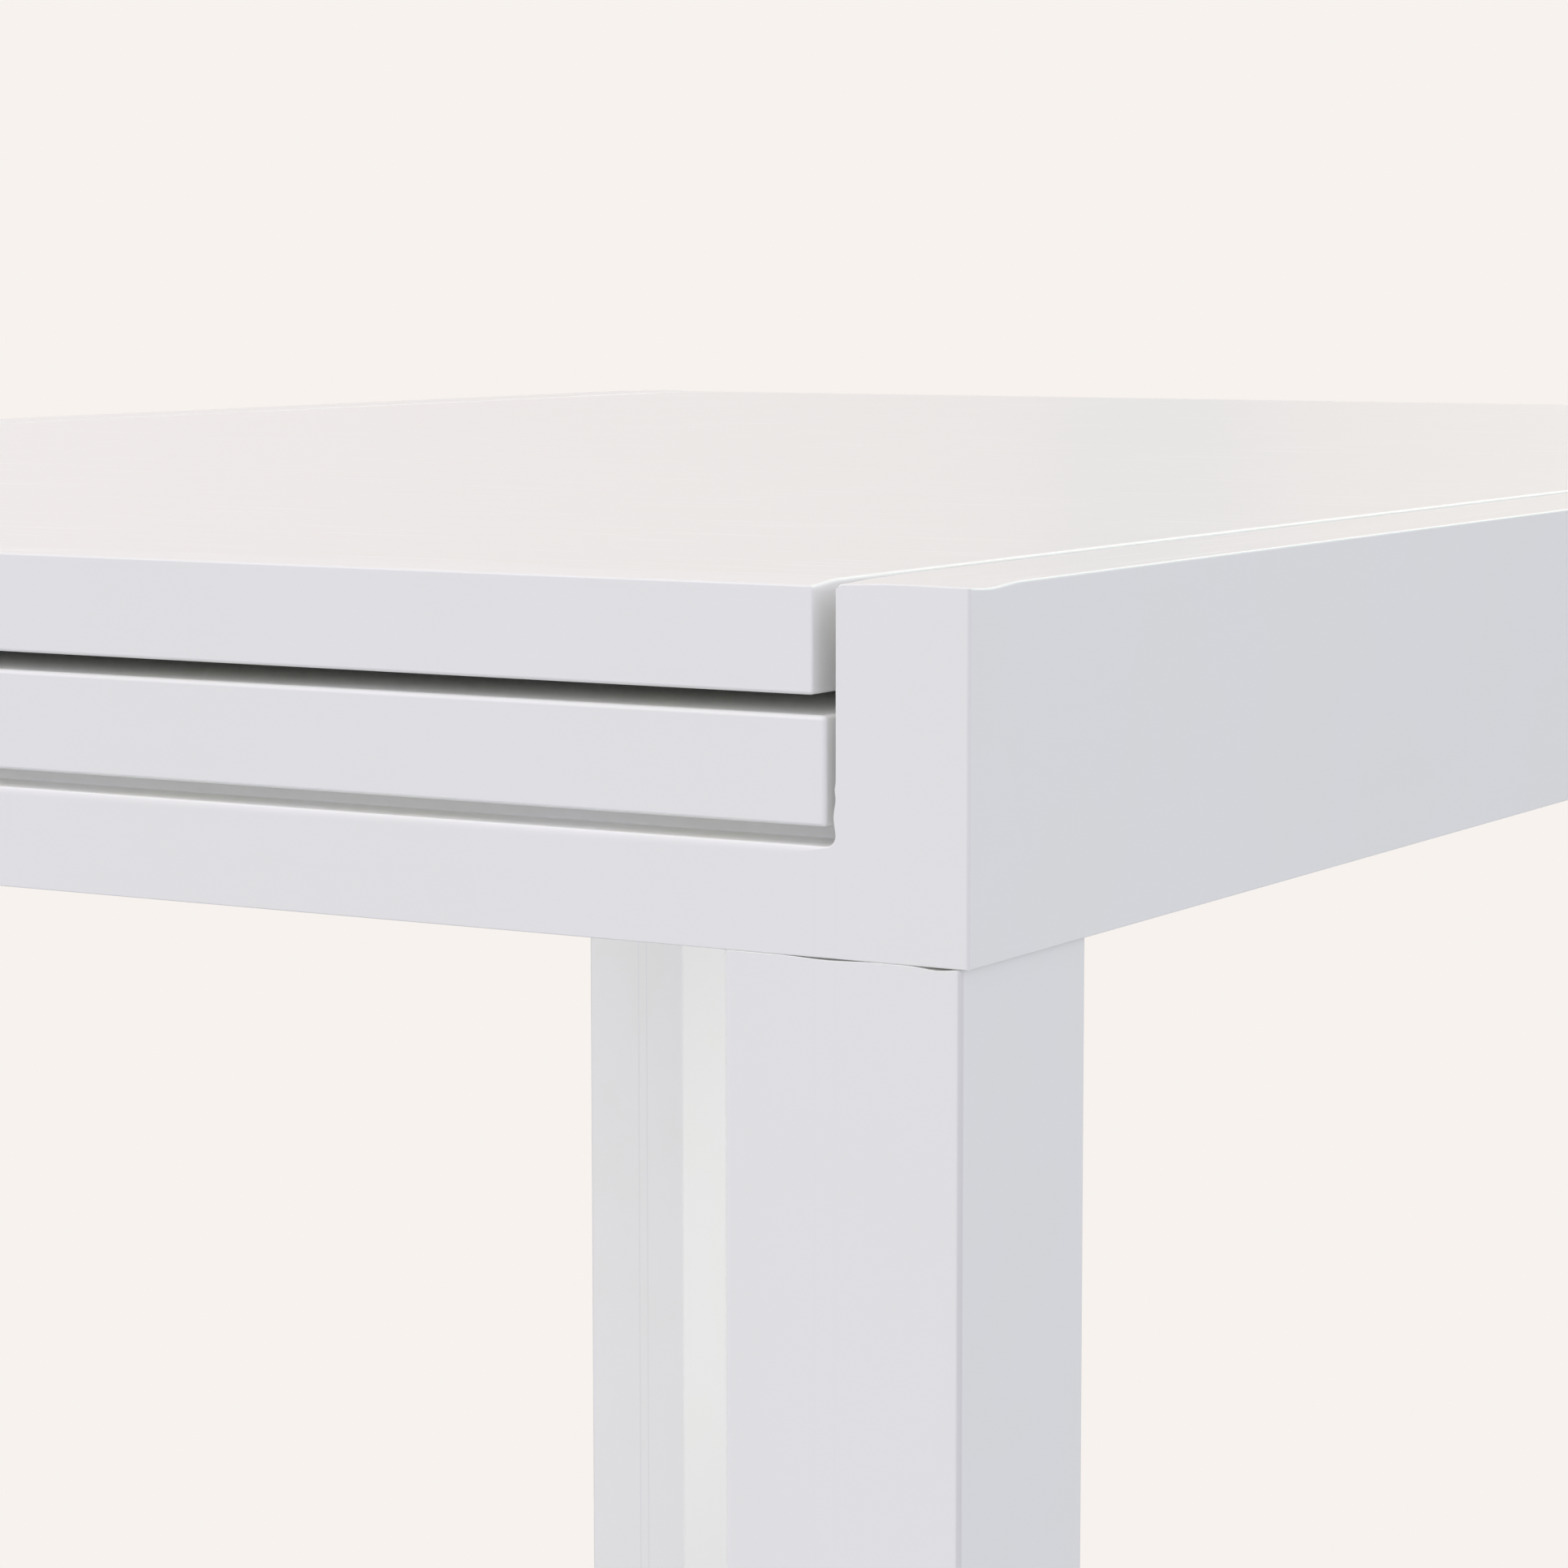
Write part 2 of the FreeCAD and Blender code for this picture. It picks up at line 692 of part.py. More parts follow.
def save_legs():
    """Legs, glides and leg fasteners."""
    post = leg()
    save("leg_a_right", [post])
    save("leg_a_left", [to_left(post)])
    save("leg_b_right", [to_end_b(post)])
    save("leg_b_left", [to_end_b(to_left(post))])
    for name, solid in (("leg_bolts", leg_bolt()), ("leg_washers", leg_washer()),
                        ("leg_inserts", leg_insert()), ("foot_glides", foot_glide()),
                        ("glide_nails", glide_nail())):
        save(name, at_both_ends(on_both_sides([solid])))
    pins = [rod(start, UP, leg_dowel_diameter, leg_dowel_length) for start in leg_dowel_starts()]
    save("leg_dowels", at_both_ends(on_both_sides(pins)))


os.makedirs("parts", exist_ok=True)
save_frame()
save_frame_fasteners()
save_leaves()
save_legs()
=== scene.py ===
"""The looks of the parsons extension table.

The top, leaves, side rails, end frames and legs are modelled again, with eased arrises and the
small faults of hand finishing. The cross rails and the hardware keep their CAD shapes and get
their finish here. Metres, in the CAD model's frame: X along the table, Y across it, Z up. End a
is at -X, the right side at -Y.
"""

import json
import math

import bmesh
import bpy
from mathutils import Matrix, Vector


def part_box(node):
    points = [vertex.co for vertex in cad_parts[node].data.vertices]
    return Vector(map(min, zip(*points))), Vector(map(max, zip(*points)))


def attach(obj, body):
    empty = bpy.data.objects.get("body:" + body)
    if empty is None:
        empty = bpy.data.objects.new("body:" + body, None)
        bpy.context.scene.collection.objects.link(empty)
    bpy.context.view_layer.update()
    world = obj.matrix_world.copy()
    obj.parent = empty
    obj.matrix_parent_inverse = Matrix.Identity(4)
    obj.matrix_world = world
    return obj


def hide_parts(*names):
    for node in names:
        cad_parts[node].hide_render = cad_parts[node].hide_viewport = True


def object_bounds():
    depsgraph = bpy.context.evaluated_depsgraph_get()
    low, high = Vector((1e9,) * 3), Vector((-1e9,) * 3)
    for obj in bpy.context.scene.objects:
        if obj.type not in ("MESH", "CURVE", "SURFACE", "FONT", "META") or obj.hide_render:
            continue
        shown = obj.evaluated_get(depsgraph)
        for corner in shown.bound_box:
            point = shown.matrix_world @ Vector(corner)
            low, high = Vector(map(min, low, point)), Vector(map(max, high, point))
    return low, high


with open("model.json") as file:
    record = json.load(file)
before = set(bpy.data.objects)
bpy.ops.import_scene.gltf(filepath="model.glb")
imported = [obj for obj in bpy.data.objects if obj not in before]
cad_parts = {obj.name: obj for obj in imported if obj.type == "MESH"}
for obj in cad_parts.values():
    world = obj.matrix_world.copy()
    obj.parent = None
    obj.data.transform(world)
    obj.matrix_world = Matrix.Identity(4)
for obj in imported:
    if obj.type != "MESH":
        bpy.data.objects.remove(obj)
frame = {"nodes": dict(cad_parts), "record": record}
cad_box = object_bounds()

MM = 0.001
X, Y, Z = 0, 1, 2
AXES = (Vector((1, 0, 0)), Vector((0, 1, 0)), Vector((0, 0, 1)))
ENDS = ("a", "b")
SIDES = ("right", "left")
TINY = 0.01 * MM

# The camera: where it stands, and where it looks as a turn from +X and a tilt down
CAMERA_PLACE = Vector((-1.5216, -0.9130, 0.8197))
CAMERA_TURN = math.radians(30.341)
CAMERA_TILT = math.radians(6.533)
CAMERA_ROLL = math.radians(-0.043)
FOCAL_PIXELS = 5581.0
PHOTO_PIXELS = 1932
SENSOR = 36.0

# Colours of the studio's light: from straight up, from the level ways along the axes, from the
# key light, which is a broad glow high up at the left of end a, from the rim light beyond end b,
# which the arrises mirror, and off the floor
LIGHT_UP = (0.41, 0.35, 0.34)
LIGHT_BACK = (1.78, 1.77, 2.23)
LIGHT_AHEAD = (0.57, 0.52, 0.46)
LIGHT_RIGHT = (1.38, 1.39, 1.59)
LIGHT_LEFT = (1.19, 1.07, 1.13)
LIGHT_KEY = (2.00, 2.00, 2.00)
LIGHT_RIM = (3.30, 3.20, 2.90)
FLOOR_LIGHT = (0.49, 0.50, 0.52)

# Where each light comes from, and how sharply it falls off to the sides
LIGHTS = (
    ((0, 0, 1), 2, LIGHT_UP),
    ((-1, 0, 0), 16, LIGHT_BACK),
    ((1, 0, 0), 2, LIGHT_AHEAD),
    ((0, -1, 0), 2, LIGHT_RIGHT),
    ((0, 1, 0), 2, LIGHT_LEFT),
    ((-0.60, 0.30, 0.74), 8, LIGHT_KEY),
    ((0.86, -0.10, 0.46), 24, LIGHT_RIM))

# Darker, cooler upright bands far from the table, which its faces mirror: the turn from +X, half
# the width, how far the sides fade out, and the tint
BANDS = (
    (math.radians(25.7), math.radians(0.9), math.radians(1.2), (0.73, 0.83, 0.92)),
    (math.radians(-15), math.radians(3), math.radians(6), (0.15, 0.50, 0.40)))
NO_TINT = (1, 1, 1)

# A low soft beam that passes under the right side rail onto the far left leg
BEAM_PLACE = Vector((0.20, -1.15, 0.36))
BEAM_AIM = Vector((0.62, 0.42, 0.27))
BEAM_SIZE = 0.5
BEAM_SPREAD = math.radians(30)
BEAM_WATTS = 0.27
BEAM_TONE = (1.0, 0.93, 0.82)

# Light reaches deep into the slots only after many bounces
LIGHT_BOUNCES = 14

# The floor shows the table's shadow out to about this far from its footprint
SHADOW_REACH = 0.15
FLOOR_TONE = (0.90, 0.87, 0.85)
FLOOR_RADIUS = 40
FLOOR_SIDES = 96

# Lacquer: its colour, that of faint clouds in it, of the brush marks, which are painted brighter as a
# painted highlight on the top, and of dust nibs, how strongly a nib shows, and how much of the clouds
# shows on the table's upper face
LACQUER_TONE = (0.930, 0.932, 0.916)
CLOUD_TONE = (0.926, 0.929, 0.902)
STREAK_HIGHLIGHT = (0.990, 0.988, 0.978)
NIB_TONE = (0.60, 0.60, 0.60)
NIB_STRENGTH = 0.5
CLOUDS_ON_TOP = 0.2

# The table's upper face, where the brush marks get their painted highlight: it starts this far down, is
# there in full at half of it, and faces up at least this much, in full from the second value
UPPER_ZONE = 6 * MM
FACING_UP = (0.80, 0.95)

# Painted shade on the upright outer arrises of the frames and of the legs: their colour is made darker
# to stand in for the shade they fall in. An arris faces neither along the table nor across it, nor up,
# and lies near a long side.
FRAME_ARRIS_SHADE = 0.87
LEG_ARRIS_SHADE = 0.79
ARRIS_BLUE = 0.98
FACING_SQUARE = (0.90, 0.995)
FACING_LEVEL = (0.10, 0.35)
ARRIS_ZONE = 20 * MM

# Painted shade on the walls of the gaps beside the top, a darker colour in place of the shade deep in
# the gaps: in full from this far in, from the first depth down but not above the second, and up to
# the first distance off a wall but not past the second
GAP_SHADE = (0.87, 0.87, 0.86)
GAP_FADE = 6 * MM
GAP_DEPTH = (3 * MM, 2 * MM)
GAP_NEAR = (0.3 * MM, 0.5 * MM)

# Colours of the other finishes, two that each varies between
BEECH_TONES = ((0.46, 0.29, 0.16), (0.60, 0.41, 0.25))
FLECK_TONE = (0.30, 0.17, 0.09)
COAT_TONES = ((0.78, 0.78, 0.78), (0.83, 0.83, 0.82))
ALUMINIUM_TONES = ((0.66, 0.67, 0.68), (0.74, 0.75, 0.76))
ZINC_TONES = ((0.62, 0.65, 0.69), (0.71, 0.69, 0.62))
BRASS_TONES = ((0.72, 0.52, 0.24), (0.58, 0.40, 0.18))
NYLON_TONES = ((0.91, 0.91, 0.88), (0.94, 0.94, 0.92))
RUBBER_TONES = ((0.20, 0.20, 0.20), (0.28, 0.28, 0.28))

# Most of a noise's values lie between these
NOISE_LOW = 0.3
NOISE_HIGH = 0.7

# Radii of the arrises
PANEL_EDGE = 0.6 * MM
PANEL_SIDE_EDGE = 1.2 * MM
LEAF_EDGE = 1.2 * MM
UNDER_EDGE = 0.9 * MM
FRAME_UNDER_EDGE = 0.3 * MM
RAIL_TOP_EDGE = 2.0 * MM
CORNER_EDGE = 1.0 * MM
SIDE_TOP_EDGE = 0.7 * MM
ARM_EDGE = 0.4 * MM
NOTCH_EDGE = 0.4 * MM
GAP_EDGE = 1.0 * MM
LEG_EDGE = 1.5 * MM
LEG_HEAD_EDGE = 0.2 * MM
WIDEST_EDGE = 3 * MM

# Radii of the notch's outline, at its mouth and at its bottom corners
NOTCH_LIP = 2.0 * MM
NOTCH_CORNER = 2.6 * MM

# Facets round an arris, the angle from which an edge counts as sharp, and how much more a large
# face counts than a small one in the shading
EDGE_STEPS = 5
SHARP = math.radians(35)
FACE_WEIGHT = 100

# Where sanding has worn the boards down: the ends of the top, and on the tops of the frame's arms
# the corner at the notch and a hollow at the outer side
TOP_WEAR = 0.9 * MM
TOP_WEAR_REACH = 13 * MM
ARM_WEAR = 0.5 * MM
ARM_WEAR_REACH = 16 * MM
HOLLOW = 0.75 * MM
HOLLOW_PLACE = 10 * MM
HOLLOW_HALF = 15 * MM
HOLLOW_WIDTH = 20 * MM

# Lumps of paint on the notch's upright edge: height over the rail, half height, and how far out
NOTCH_FAULTS = (
    (12.8 * MM, 1.8 * MM, 0.30 * MM),
    (6.6 * MM, 4.5 * MM, 0.55 * MM))
NOTCH_FAULT_DEPTH = 4 * MM

# Open stretches of the seam over a leg: place in from its outer side, half length, and how far open
SEAM_GAPS = (
    (6.5 * MM, 7 * MM, 0.60 * MM),
    (34.5 * MM, 13.5 * MM, 0.42 * MM),
    (0.0, 70 * MM, 0.03 * MM))
SEAM_DEPTH = 20 * MM

# Cuts across the boards that let them bend where they are worn: how far the first lies from an
# edge, how far the last lies in or up, and how many there are
CUT_MARGIN = 2 * MM
TOP_CUTS = 8
FRAME_CUT_REACH = 24 * MM
FRAME_CUTS = 12
ARM_CUTS = 9
NOTCH_CUT_START = 3 * MM
NOTCH_CUT_REACH = 18 * MM
NOTCH_CUTS = 16
LEG_CUTS = 26
LEG_DEPTH_CUTS = 6


# ---------------------------------------------------------------- camera

def aim_camera():
    """Makes the camera."""
    level = math.cos(CAMERA_TILT)
    ahead = Vector((level * math.cos(CAMERA_TURN), level * math.sin(CAMERA_TURN), -math.sin(CAMERA_TILT)))
    turn = ahead.to_track_quat("-Z", "Y").to_matrix() @ Matrix.Rotation(CAMERA_ROLL, 3, "Z")
    camera = bpy.data.cameras.new("camera")
    camera.sensor_width = SENSOR
    camera.lens = SENSOR * FOCAL_PIXELS / PHOTO_PIXELS
    camera.clip_start = 0.05
    camera.clip_end = 100
    holder = bpy.data.objects.new("camera", camera)
    holder.matrix_world = Matrix.Translation(CAMERA_PLACE) @ turn.to_4x4()
    bpy.context.scene.collection.objects.link(holder)
    bpy.context.scene.camera = holder


# ---------------------------------------------------------------- node trees

class Nodes:
    """Shorthand for building a node tree."""

    def __init__(self, owner):
        owner.use_nodes = True
        self.tree = owner.node_tree
        self.tree.nodes.clear()

    def add(self, kind, settings=None, **inputs):
        """Adds a node. Inputs are values, or (node, output) pairs to link."""
        node = self.tree.nodes.new("ShaderNode" + kind)
        for name, value in (settings or {}).items():
            setattr(node, name, value)
        for name, value in inputs.items():
            self.put(node, name.strip("_").replace("_", " "), value)
        return node

    def put(self, node, name, value):
        """Sets one input by name or by number. Colours get full alpha."""
        socket = node.inputs[int(name)] if name.isdigit() else node.inputs[name]
        if isinstance(value, tuple) and isinstance(value[0], bpy.types.Node):
            self.tree.links.new(value[0].outputs[value[1]], socket)
        elif socket.type == "RGBA":
            socket.default_value = value + (1,)
        else:
            socket.default_value = value

    def math(self, operation, first, second=0.0):
        """Result of an operation on one or two numbers."""
        return (self.add("Math", {"operation": operation}, _0=first, _1=second), 0)

    def product(self, first, *others):
        """Product of two or more numbers."""
        for other in others:
            first = self.math("MULTIPLY", first, other)
        return first

    def blend(self, factor, first, second):
        """Colour between two colours."""
        return (self.add("Mix", {"data_type": "RGBA"}, _0=factor, _6=first, _7=second), 2)

    def ramp(self, value, low, high, start=0.0, end=1.0):
        """Value carried from low..high to start..end, smoothly and within those ends."""
        names = {"From_Min": low, "From_Max": high, "To_Min": start, "To_Max": end}
        return (self.add("MapRange", {"interpolation_type": "SMOOTHSTEP"}, Value=value, **names), 0)

    def fall(self, value, low, high):
        """1 up to low, then smoothly down to 0 at high."""
        return self.ramp(value, low, high, start=1.0, end=0.0)

    def spread(self, noise, start, end):
        """From start to end over most of a noise's values."""
        return self.ramp(noise, NOISE_LOW, NOISE_HIGH, start, end)

    def place(self):
        """Point on the piece, in metres."""
        return (self.add("TexCoord"), "Object")

    def noise(self, place, scale, detail=2.0):
        """Cloudy pattern, about scale blotches to the metre."""
        return (self.add("TexNoise", None, Vector=place, Scale=scale, Detail=detail), 0)

    def lines(self, place, axis, across, along, detail=2.0):
        """Noise drawn out along an axis: blotches to the metre across it and along it."""
        scales = [across, across, across]
        scales[axis] = along
        drawn = (self.add("Mapping", None, Vector=place, Scale=scales), 0)
        return self.noise(drawn, 1.0, detail)

    def bump(self, height, strength, distance):
        """Relief of the surface."""
        return (self.add("Bump", None, Height=height, Strength=strength, Distance=distance), 0)

    def surface(self, **inputs):
        """Ends the tree of a material with the main shader."""
        shader = self.add("BsdfPrincipled", None, **inputs)
        self.add("OutputMaterial", None, Surface=(shader, 0))


def paint_named(name):
    """New material and its node tree."""
    paint = bpy.data.materials.new(name)
    return paint, Nodes(paint)


def linear(red, green, blue):
    """Linear colour from 8-bit screen values."""
    def one(value):
        value /= 255
        return value / 12.92 if value <= 0.04045 else ((value + 0.055) / 1.055) ** 2.4
    return (one(red), one(green), one(blue))


BACKDROP = linear(247, 242, 238)


# ---------------------------------------------------------------- light and floor

def set_world():
    """Soft studio light from all round, with one even tone where the camera sees past the table."""
    world = bpy.data.worlds.new("studio")
    bpy.context.scene.world = world
    made = Nodes(world)
    place = (made.add("TexCoord"), "Generated")

    def toward(way):
        """How much the direction that is looked in points the given way."""
        dot = made.add("VectorMath", {"operation": "DOT_PRODUCT"}, _0=place, _1=Vector(way).normalized())
        return (dot, "Value")

    total = (0, 0, 0)
    for way, sharpness, colour in LIGHTS:
        share = made.math("POWER", made.math("MAXIMUM", toward(way)), sharpness)
        glow = made.add("VectorMath", {"operation": "SCALE"}, _0=colour, Scale=share)
        total = (made.add("VectorMath", {"operation": "ADD"}, _0=total, _1=(glow, 0)), 0)

    for turn, half, fade, tint in BANDS:
        aside = made.math("ABSOLUTE", toward((-math.sin(turn), math.cos(turn), 0)))
        ahead = made.math("GREATER_THAN", toward((math.cos(turn), math.sin(turn), 0)))
        band = made.product(ahead, made.fall(aside, half, half + fade))
        shade = made.blend(band, NO_TINT, tint)
        total = (made.add("VectorMath", {"operation": "MULTIPLY"}, _0=total, _1=shade), 0)
    seen = made.blend((made.add("LightPath"), "Is Camera Ray"), total, BACKDROP)
    made.add("OutputWorld", None, Surface=(made.add("Background", None, Color=seen), 0))


def low_beam():
    """Soft narrow light on the far left leg, which stands deep under the top."""
    light = bpy.data.lights.new("beam", "AREA")
    light.energy = BEAM_WATTS
    light.color = BEAM_TONE
    light.size = BEAM_SIZE
    light.spread = BEAM_SPREAD
    holder = bpy.data.objects.new("beam", light)
    turn = (BEAM_AIM - BEAM_PLACE).to_track_quat("-Z", "Y").to_matrix()
    holder.matrix_world = Matrix.Translation(BEAM_PLACE) @ turn.to_4x4()
    holder.visible_camera = False
    bpy.context.scene.collection.objects.link(holder)


def lay_floor():
    """Plain pale floor. The camera sees the table's shadow under it, and an even tone around.

    Everything else meets an even glow, as off a studio sweep. From below the floor is clear.
    """
    mesh = bpy.data.meshes.new("floor")
    shape = bmesh.new()
    bmesh.ops.create_circle(shape, cap_ends=True, radius=FLOOR_RADIUS, segments=FLOOR_SIDES)
    shape.to_mesh(mesh)
    shape.free()
    floor = bpy.data.objects.new("floor", mesh)
    bpy.context.scene.collection.objects.link(floor)

    paint, made = paint_named("floor")
    place = made.add("SeparateXYZ", None, Vector=made.place())
    shade = 1.0
    for axis in (X, Y):
        edge = cad_box[1][axis]
        off = made.math("ABSOLUTE", (place, axis))
        shade = made.product(shade, made.fall(off, edge - SHADOW_REACH, edge + SHADOW_REACH))
    even = made.add("Emission", None, Color=BACKDROP)
    matt = made.add("BsdfDiffuse", None, Color=FLOOR_TONE)
    seen = made.add("MixShader", None, _0=shade, _1=(even, 0), _2=(matt, 0))
    glow = made.add("Emission", None, Color=FLOOR_LIGHT)
    by_eye = (made.add("LightPath"), "Is Camera Ray")
    upper = made.add("MixShader", None, _0=by_eye, _1=(glow, 0), _2=(seen, 0))
    under = (made.add("NewGeometry"), "Backfacing")
    clear = made.add("BsdfTransparent")
    both = made.add("MixShader", None, _0=under, _1=(upper, 0), _2=(clear, 0))
    made.add("OutputMaterial", None, Surface=(both, 0))
    mesh.materials.append(paint)


# ---------------------------------------------------------------- lacquer

def on_upper_face(made, sides, facing):
    """1 on the upper face of the table, 0 elsewhere."""
    top = cad_box[1].z
    high = made.ramp((sides, Z), top - UPPER_ZONE, top - UPPER_ZONE / 2)
    return made.product(high, made.ramp(facing[Z], *FACING_UP))


def on_outer_arris(made, sides, facing):
    """Where the arrises' painted shade goes: 1 on the upright arrises at the table's long sides, 0
    elsewhere.
    """
    rounded = made.fall(made.math("MAXIMUM", facing[X], facing[Y]), *FACING_SQUARE)
    upright = made.fall(facing[Z], *FACING_LEVEL)
    side = cad_box[1].y
    aside = made.math("ABSOLUTE", (sides, Y))
    outer = made.ramp(aside, side - ARRIS_ZONE, side - ARRIS_ZONE / 2)
    return made.product(rounded, upright, outer)


def on_gap_wall(made, sides):
    """Where the gaps' painted shade goes: 1 on the top's long sides and on the faces of rails and arms
    beside them, 0 elsewhere.
    """
    aside = made.math("ABSOLUTE", (sides, Y))
    wall = 0.0
    for wall_place in (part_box("top_panel")[1].y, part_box("side_rail_left")[0].y):
        off = made.math("ABSOLUTE", made.math("SUBTRACT", aside, wall_place))
        wall = made.math("MAXIMUM", wall, made.fall(off, *GAP_NEAR))
    end = cad_box[1].x
    top = cad_box[1].z
    inside = made.fall(made.math("ABSOLUTE", (sides, X)), end - GAP_FADE, end)
    below = made.fall((sides, Z), *(top - depth for depth in GAP_DEPTH))
    return made.product(inside, below, wall)


def lacquer(streak_axis, arris_shade):
    """Satin white lacquer, brushed along one axis.

    It has faint yellower clouds, brush marks, orange peel and dust nibs. On the table's top the brush
    marks are painted brighter, a painted highlight. The upright outer arrises and the gaps beside the
    top are painted darker, painted shade.
    """
    paint, made = paint_named("white_lacquer_" + "xyz"[streak_axis])
    place = made.place()
    sides = made.add("SeparateXYZ", None, Vector=place)
    normal = made.add("SeparateXYZ", None, Vector=(made.add("NewGeometry"), "Normal"))
    facing = [made.math("ABSOLUTE", (normal, axis)) for axis in (X, Y, Z)]

    upper = on_upper_face(made, sides, facing)
    clouds = made.ramp(made.noise(place, scale=20.0, detail=4.0), low=0.44, high=0.58)
    clouds = made.product(clouds, made.ramp(upper, 0.0, 1.0, start=1.0, end=CLOUDS_ON_TOP))
    streaks = made.lines(place, streak_axis, across=320.0, along=12.0)
    streaks = made.product(made.ramp(streaks, low=0.61, high=0.67), upper)
    spots = made.add("TexVoronoi", None, Vector=place, Scale=16.0)
    nibs = made.fall((spots, "Distance"), low=0.002, high=0.008)

    tone = made.blend(clouds, LACQUER_TONE, CLOUD_TONE)
    # painted highlight: on the top the brush marks, which are also real relief in the bump, get a
    # brighter colour in place of their glint
    tone = made.blend(streaks, tone, STREAK_HIGHLIGHT)
    # painted shade: the upright outer arrises get a darker colour in place of the shade they fall in
    arris_painted_shade = (arris_shade, arris_shade, ARRIS_BLUE * arris_shade)
    tone = made.blend(on_outer_arris(made, sides, facing), tone, arris_painted_shade)
    # painted shade: the walls of the gaps beside the top get a darker colour in place of the shade deep
    # in the gaps
    tone = made.blend(on_gap_wall(made, sides), tone, GAP_SHADE)
    tone = made.blend(made.product(nibs, NIB_STRENGTH), tone, NIB_TONE)

    marks = made.lines(place, streak_axis, across=700.0, along=6.0, detail=4.0)
    peel = made.noise(place, scale=380.0)
    swell = made.noise(place, scale=45.0)
    height = 0.0
    # each pattern, and how high it stands beside the others
    for pattern, share in ((marks, 0.6), (peel, 0.5), (swell, 2.5), (nibs, 1.5), (streaks, 2.0)):
        height = made.math("ADD", height, made.product(pattern, share))
    relief = made.bump(height, strength=0.35, distance=0.06 * MM)
    gloss = made.spread(marks, 0.30, 0.40)
    made.surface(Base_Color=tone, Roughness=gloss, Normal=relief)
    return paint


# ---------------------------------------------------------------- other materials

def beech():
    """Plain sanded beech, grain along Y, with its short dark flecks."""
    paint, made = paint_named("beech")
    place = made.place()
    grain = made.lines(place, Y, across=160.0, along=5.0, detail=5.0)
    flecks = made.lines(place, Y, across=900.0, along=90.0)
    tone = made.blend(made.spread(grain, 0.0, 1.0), *BEECH_TONES)
    tone = made.blend(made.ramp(flecks, low=0.62, high=0.72, end=0.5), tone, FLECK_TONE)
    relief = made.bump(grain, strength=0.3, distance=0.2 * MM)
    made.surface(Base_Color=tone, Roughness=made.spread(grain, 0.50, 0.62), Normal=relief)
    return paint


def white_steel():
    """White powder coat."""
    paint, made = paint_named("white_steel")
    place = made.place()
    grit = made.noise(place, scale=900.0, detail=3.0)
    tone = made.blend(made.noise(place, scale=30.0), *COAT_TONES)
    relief = made.bump(grit, strength=0.5, distance=0.1 * MM)
    made.surface(Base_Color=tone, Roughness=made.spread(grit, 0.42, 0.55), Normal=relief)
    return paint


def aluminium():
    """Drawn aluminium: die lines along X and a dull anodised skin."""
    paint, made = paint_named("aluminium")
    place = made.place()
    lines = made.lines(place, X, across=1500.0, along=3.0, detail=3.0)
    tone = made.blend(made.noise(place, scale=25.0, detail=3.0), *ALUMINIUM_TONES)
    relief = made.bump(lines, strength=0.4, distance=0.05 * MM)
    gloss = made.spread(lines, 0.28, 0.42)
    made.surface(Base_Color=tone, Metallic=1.0, Roughness=gloss, Normal=relief)
    return paint


def zinc_steel():
    """Bright zinc plate with faint blue and straw tints."""
    paint, made = paint_named("zinc_steel")
    place = made.place()
    tint = made.noise(place, scale=140.0, detail=3.0)
    tone = made.blend(made.ramp(tint, low=0.35, high=0.65), *ZINC_TONES)
    wear = made.noise(place, scale=1200.0, detail=3.0)
    relief = made.bump(wear, strength=0.3, distance=0.04 * MM)
    gloss = made.spread(wear, 0.22, 0.38)
    made.surface(Base_Color=tone, Metallic=1.0, Roughness=gloss, Normal=relief)
    return paint


def brass():
    """Turned brass with fine tool rings along Z."""
    paint, made = paint_named("brass")
    place = made.place()
    rings = made.add("TexWave", {"bands_direction": "Z"}, Vector=place, Scale=900.0, Distortion=0.5)
    tarnish = made.noise(place, scale=120.0, detail=3.0)
    tone = made.blend(tarnish, *BRASS_TONES)
    relief = made.bump((rings, "Fac"), strength=0.3, distance=0.05 * MM)
    gloss = made.spread(tarnish, 0.25, 0.40)
    made.surface(Base_Color=tone, Metallic=1.0, Roughness=gloss, Normal=relief)
    return paint


def nylon():
    """Natural moulded nylon: milky, slightly warm, scuffed by sliding."""
    paint, made = paint_named("nylon")
    place = made.place()
    tone = made.blend(made.noise(place, scale=60.0, detail=3.0), *NYLON_TONES)
    scuffs = made.lines(place, X, across=900.0, along=60.0, detail=3.0)
    relief = made.bump(scuffs, strength=0.3, distance=0.05 * MM)
    made.surface(Base_Color=tone, Roughness=made.spread(scuffs, 0.35, 0.55), Normal=relief)
    return paint


def rubber():
    """Matt grey rubber with a dusty bloom."""
    paint, made = paint_named("rubber")
    bloom = made.noise(made.place(), scale=400.0, detail=4.0)
    tone = made.blend(made.ramp(bloom, low=0.35, high=0.7), *RUBBER_TONES)
    relief = made.bump(bloom, strength=0.4, distance=0.1 * MM)
    made.surface(Base_Color=tone, Roughness=made.spread(bloom, 0.75, 0.9), Normal=relief)
    return paint


# ---------------------------------------------------------------- mesh helpers

def block(low, high):
    """Square-edged block."""
    shape = bmesh.new()
    bmesh.ops.create_cube(shape, size=1.0)
    for corner in shape.verts:
        corner.co = Vector(low[i] + (high[i] - low[i]) * (corner.co[i] + 0.5) for i in range(3))
    return shape


def slab(outline, face, back):
    """Board with the given outline in Y and Z, between two places along X."""
    shape = bmesh.new()
    front = shape.faces.new([shape.verts.new((face, y, z)) for y, z in outline])
    grown = bmesh.ops.extrude_face_region(shape, geom=[front])
    for item in grown["geom"]:
        if isinstance(item, bmesh.types.BMVert):
            item.co.x = back
    bmesh.ops.recalc_face_normals(shape, faces=shape.faces)
    return shape


